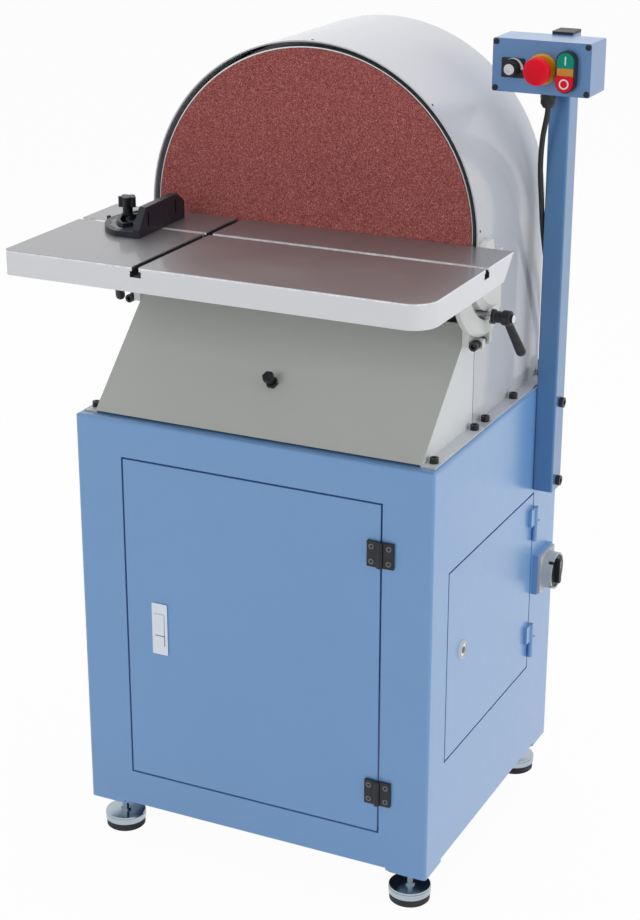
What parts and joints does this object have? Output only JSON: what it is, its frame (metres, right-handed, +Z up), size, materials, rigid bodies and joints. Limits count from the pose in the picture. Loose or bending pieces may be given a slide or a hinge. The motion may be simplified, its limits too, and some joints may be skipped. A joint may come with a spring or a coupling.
{
  "type": "disc sander",
  "caption": "Floor-standing disc sander on a sheet-steel cabinet, with an arched hood, tilting slotted table on trunnions, mitre gauge, doors and a control box on a post.",
  "frame": {"origin": "centre of the bounding box on the floor, under the levelling feet", "axes": "+X to the operator's right, +Y from the front to the back, +Z up"},
  "size_m": [0.713, 0.648, 1.253],
  "materials": {
    "blue_paint": "smooth light blue paint",
    "grey_paint": "smooth light grey paint",
    "ground_steel": "ground table top with painted edges",
    "black_steel": "blackened steel",
    "black_plastic": "black moulded plastic",
    "chrome": "bright plating",
    "rubber": "black rubber",
    "steel": "machined steel",
    "zinc_sheet": "zinc-plated sheet",
    "cast_iron": "painted casting",
    "motor_grey": "painted aluminium casting",
    "disc_metal": "machined aluminium",
    "abrasive": "coarse red grain",
    "grey_plastic": "grey moulded plastic",
    "yellow_plastic": "yellow moulded plastic",
    "red_plastic": "red moulded plastic",
    "green_plastic": "green moulded plastic",
    "amber_plastic": "amber lens",
    "cable_jacket": "black cable jacket"
  },
  "bodies": {
    "frame": {"cabinet_shell": "blue_paint", "corner_plates": "blue_paint", "levelling_feet": "chrome", "foot_pads": "rubber", "foot_nuts": "steel", "electrics_plate": "zinc_sheet", "inverter": "black_plastic", "hood_shell": "grey_paint", "hood_back": "grey_paint", "lower_cover": "grey_paint", "cap_screws": "black_steel", "stop_bolts": "black_steel", "bulkhead": "cast_iron", "motor_housing": "motor_grey", "motor_end_bells": "motor_grey", "motor_fan_cover": "motor_grey", "motor_terminal_box": "motor_grey", "motor_bearings": "steel", "dust_port": "grey_paint", "trunnion_brackets": "grey_paint", "clamp_studs": "steel", "control_post": "blue_paint", "post_cap": "black_plastic", "control_box": "blue_paint", "control_lid": "blue_paint", "dial_plate": "black_plastic", "estop_collar": "yellow_plastic", "button_frame": "black_plastic", "indicator_lens": "amber_plastic", "cable_glands": "black_plastic", "control_cable": "cable_jacket", "switch_box": "blue_paint", "switch_plate": "grey_plastic", "front_hinge_leaves": "black_steel", "side_hinge_pins": "blue_paint"},
    "disc": {"motor_shaft": "steel", "motor_fan": "black_plastic", "disc_plate": "disc_metal", "abrasive_sheet": "abrasive"},
    "table": {"table": "ground_steel", "table_trunnions": "grey_paint"},
    "lever_left": {"clamp_lever_left": "black_plastic"},
    "lever_right": {"clamp_lever_right": "black_plastic"},
    "mitre": {"mitre_bar": "steel"},
    "mitre_head": {"mitre_head": "black_plastic"},
    "mitre_knob": {"mitre_knob": "black_plastic"},
    "front_door": {"front_door": "blue_paint", "door_hinge_leaves": "black_steel", "latch_housing": "chrome"},
    "latch_paddle": {"latch_paddle": "chrome"},
    "latch_button": {"latch_button": "chrome"},
    "side_door": {"side_door": "blue_paint", "lock_body": "chrome"},
    "side_lock": {"lock_core": "steel"},
    "speed_knob": {"speed_knob": "black_plastic"},
    "estop": {"estop_stem": "black_plastic"},
    "estop_head": {"estop_head": "red_plastic"},
    "start_button": {"start_button": "green_plastic"},
    "stop_button": {"stop_button": "red_plastic"},
    "main_switch": {"switch_knob": "black_plastic"}
  },
  "joints": [
    {"name": "disc_spin", "type": "hinge", "parent": "frame", "child": "disc", "pos_m": [-0.01649, -0.015, 0.984], "axis": [0, 1, 0], "continuous": true},
    {"name": "table_tilt", "type": "hinge", "parent": "frame", "child": "table", "pos_m": [-0.01649, -0.018, 0.978], "axis": [1, 0, 0], "range_deg": [0, 45]},
    {"name": "lever_left", "type": "hinge", "parent": "frame", "child": "lever_left", "pos_m": [-0.32849, -0.04074, 0.88679], "axis": [1, 0, 0], "range_deg": [-35, 50]},
    {"name": "lever_right", "type": "hinge", "parent": "frame", "child": "lever_right", "pos_m": [0.29551, -0.04074, 0.88679], "axis": [1, 0, 0], "range_deg": [-35, 50]},
    {"name": "mitre_slide", "type": "slide", "parent": "table", "child": "mitre", "axis": [1, 0, 0], "range_m": [-0.015, 0.4]},
    {"name": "mitre_swivel", "type": "hinge", "parent": "mitre", "child": "mitre_head", "pos_m": [-0.21449, -0.119, 0.983], "axis": [0, 0, 1], "range_deg": [-48, 44]},
    {"name": "mitre_knob", "type": "hinge", "parent": "mitre", "child": "mitre_knob", "pos_m": [-0.26449, -0.119, 1.008], "axis": [0, 0, 1], "range_deg": [-180, 180]},
    {"name": "front_door", "type": "hinge", "parent": "frame", "child": "front_door", "pos_m": [0.19501, -0.225, 0.386], "axis": [0, 0, 1], "range_deg": [0, 170]},
    {"name": "latch_paddle", "type": "hinge", "parent": "front_door", "child": "latch_paddle", "pos_m": [-0.16949, -0.2205, 0.4035], "axis": [-1, 0, 0], "range_deg": [0, 40]},
    {"name": "latch_button", "type": "slide", "parent": "front_door", "child": "latch_button", "axis": [0, 1, 0], "range_m": [0, 0.003], "stiffness_N_per_m": 400},
    {"name": "side_door", "type": "hinge", "parent": "frame", "child": "side_door", "pos_m": [0.27801, 0.1925, 0.381], "axis": [0, 0, 1], "range_deg": [0, 100]},
    {"name": "side_lock", "type": "hinge", "parent": "side_door", "child": "side_lock", "pos_m": [0.26351, -0.098, 0.388], "axis": [-1, 0, 0], "range_deg": [0, 90]},
    {"name": "speed_knob", "type": "hinge", "parent": "frame", "child": "speed_knob", "pos_m": [0.24051, 0.11, 1.208], "axis": [0, 1, 0], "range_deg": [-150, 150]},
    {"name": "estop_push", "type": "slide", "parent": "frame", "child": "estop", "axis": [0, 1, 0], "range_m": [0, 0.005]},
    {"name": "estop_twist", "type": "hinge", "parent": "estop", "child": "estop_head", "pos_m": [0.28451, 0.09, 1.209], "axis": [0, 1, 0], "range_deg": [0, 45], "stiffness_Nm_per_rad": 0.05},
    {"name": "start_button", "type": "slide", "parent": "frame", "child": "start_button", "axis": [0, 1, 0], "range_m": [0, 0.003], "stiffness_N_per_m": 400},
    {"name": "stop_button", "type": "slide", "parent": "frame", "child": "stop_button", "axis": [0, 1, 0], "range_m": [0, 0.003], "stiffness_N_per_m": 400},
    {"name": "main_switch", "type": "hinge", "parent": "frame", "child": "main_switch", "pos_m": [0.29351, 0.234, 0.3895], "axis": [1, 0, 0], "range_deg": [0, 90]}
  ]
}
